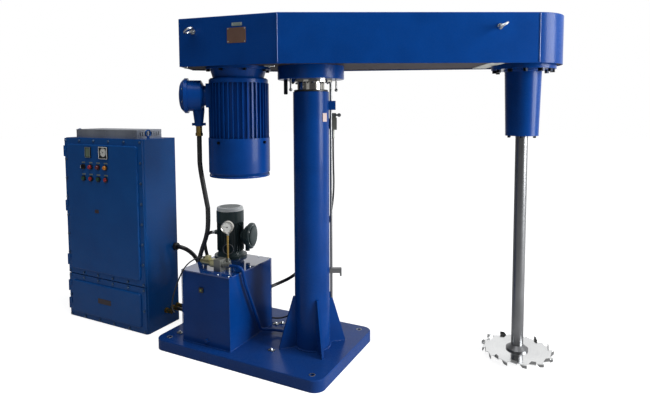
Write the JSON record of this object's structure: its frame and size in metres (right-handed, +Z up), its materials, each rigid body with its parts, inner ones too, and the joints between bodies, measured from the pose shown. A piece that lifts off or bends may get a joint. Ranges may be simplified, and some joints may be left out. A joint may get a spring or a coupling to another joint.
{
  "type": "high-speed disperser",
  "caption": "Floor-standing high-speed disperser: hydraulic column lift, belt-driven swivelling beam head, saw-toothed disc on a long shaft, oil power pack and control cabinet.",
  "frame": {"origin": "centre of the four anchor holes of the base plate, on the floor", "axes": "+Z up, +X along the base plate's long side from the cabinet towards the column and spindle, +Y towards the back"},
  "size_m": [3.7128, 1.418, 2.326],
  "materials": {
    "blue_paint": "glossy royal-blue enamel",
    "bronze": "machined bronze",
    "grey_steel": "brushed grey steel",
    "bright_steel": "bright turned steel",
    "stainless": "brushed stainless steel",
    "hard_chrome": "ground hard chrome",
    "black_steel": "black oxide",
    "cast_grey": "grey cast iron",
    "motor_green": "dark green-grey paint",
    "zinc_yellow": "yellow zinc plate",
    "brass": "turned brass",
    "grey_plastic": "moulded grey plastic",
    "instrument_black": "moulded black plastic",
    "button_green": "moulded green plastic",
    "button_red": "moulded red plastic",
    "black_rubber": "black rubber sheath",
    "belt_rubber": "ribbed belt rubber"
  },
  "bodies": {
    "base": {"base_plate": "blue_paint", "column_tube": "blue_paint", "column_gussets": "blue_paint", "guide_bushes": "bronze", "lift_cylinder": "grey_steel", "rod_guide": "blue_paint", "limit_switch": "grey_plastic", "oil_tank": "blue_paint", "tank_lid": "blue_paint", "oil_pump": "cast_grey", "pump_motor": "motor_green", "pump_terminal_box": "motor_green", "valve_block": "blue_paint", "solenoid_valve": "zinc_yellow", "pressure_gauge": "bright_steel", "pressure_pipe": "blue_paint", "brass_fittings": "brass", "cabinet_shell": "blue_paint", "cabinet_devices": "grey_plastic", "cabinet_top_box": "grey_steel", "motor_cable_lower": "black_rubber", "pump_cable": "black_rubber", "solenoid_cable": "black_rubber", "limit_cable": "black_rubber", "return_hose": "black_rubber"},
    "ram": {"ram": "hard_chrome", "lift_piston": "hard_chrome", "swivel_bearing": "bright_steel", "limit_rod": "grey_steel"},
    "head": {"head_cover": "blue_paint", "head_plate": "blue_paint", "head_collar": "blue_paint", "head_fasteners": "black_steel", "head_eyes": "hard_chrome", "motor_adapter": "blue_paint", "motor_body": "blue_paint", "motor_cowl": "blue_paint", "motor_terminal_box": "blue_paint", "motor_gland": "brass", "drive_belts": "belt_rubber", "spindle_housing": "blue_paint", "spindle_bearings": "bright_steel", "motor_cable_upper": "black_rubber"},
    "motor_rotor": {"motor_rotor": "grey_steel", "motor_fan": "grey_plastic", "motor_pulley": "cast_grey"},
    "spindle": {"spindle_shaft": "stainless", "spindle_pulley": "cast_grey", "disperser_disc": "stainless"},
    "upper_door": {"upper_door": "blue_paint", "door_instruments": "instrument_black"},
    "lower_door": {"lower_door": "blue_paint"},
    "selector_knob": {"selector_knob": "instrument_black"},
    "push_button_1": {"push_button_1": "button_green"},
    "push_button_2": {"push_button_2": "button_red"},
    "push_button_3": {"push_button_3": "button_green"},
    "push_button_4": {"push_button_4": "button_red"},
    "limit_lever": {"limit_lever": "bright_steel"},
    "swivel_lock_left": {"swivel_lock_left": "bright_steel"},
    "swivel_lock_right": {"swivel_lock_right": "bright_steel"}
  },
  "joints": [
    {"name": "lift", "type": "slide", "parent": "base", "child": "ram", "axis": [0, 0, 1], "range_m": [0, 1.05]},
    {"name": "head_swivel", "type": "hinge", "parent": "ram", "child": "head", "pos_m": [0.395, 0, 2], "axis": [0, 0, 1], "range_deg": [-45, 45]},
    {"name": "motor_spin", "type": "hinge", "parent": "head", "child": "motor_rotor", "pos_m": [-0.05414, -0.21279, 1.7], "axis": [0, 0, 1], "continuous": true},
    {"name": "spindle_spin", "type": "hinge", "parent": "head", "child": "spindle", "pos_m": [1.68279, 0.61011, 1.7], "axis": [0, 0, 1], "continuous": true},
    {"name": "upper_door_hinge", "type": "hinge", "parent": "base", "child": "upper_door", "pos_m": [-1.783, -0.303, 0.94], "axis": [0, 0, -1], "range_deg": [0, 110]},
    {"name": "lower_door_hinge", "type": "hinge", "parent": "base", "child": "lower_door", "pos_m": [-1.783, -0.303, 0.19], "axis": [0, 0, -1], "range_deg": [0, 110]},
    {"name": "selector_turn", "type": "hinge", "parent": "upper_door", "child": "selector_knob", "pos_m": [-1.53, -0.329, 1.282], "axis": [0, -1, 0], "range_deg": [-45, 45]},
    {"name": "limit_lever_hinge", "type": "hinge", "parent": "base", "child": "limit_lever", "pos_m": [0.51126, 0.10938, 1.692], "axis": [0.4695, -0.8829, 0], "range_deg": [0, 22], "stiffness_Nm_per_rad": 0.6, "springref_deg": -11.46},
    {"name": "button_1_press", "type": "slide", "parent": "upper_door", "child": "push_button_1", "axis": [0, 1, 0], "range_m": [0, 0.005], "stiffness_N_per_m": 500},
    {"name": "button_2_press", "type": "slide", "parent": "upper_door", "child": "push_button_2", "axis": [0, 1, 0], "range_m": [0, 0.005], "stiffness_N_per_m": 500},
    {"name": "button_3_press", "type": "slide", "parent": "upper_door", "child": "push_button_3", "axis": [0, 1, 0], "range_m": [0, 0.005], "stiffness_N_per_m": 500},
    {"name": "button_4_press", "type": "slide", "parent": "upper_door", "child": "push_button_4", "axis": [0, 1, 0], "range_m": [0, 0.005], "stiffness_N_per_m": 500},
    {"name": "swivel_lock_left_pull", "type": "slide", "parent": "head", "child": "swivel_lock_left", "axis": [0, 0, -1], "range_m": [0, 0.018], "stiffness_N_per_m": 600, "springref_m": -0.01},
    {"name": "swivel_lock_right_pull", "type": "slide", "parent": "head", "child": "swivel_lock_right", "axis": [0, 0, -1], "range_m": [0, 0.018], "stiffness_N_per_m": 600, "springref_m": -0.01}
  ],
  "couplings": [
    {"joint": "spindle_spin", "follows": "motor_spin", "ratio": 0.8}
  ]
}
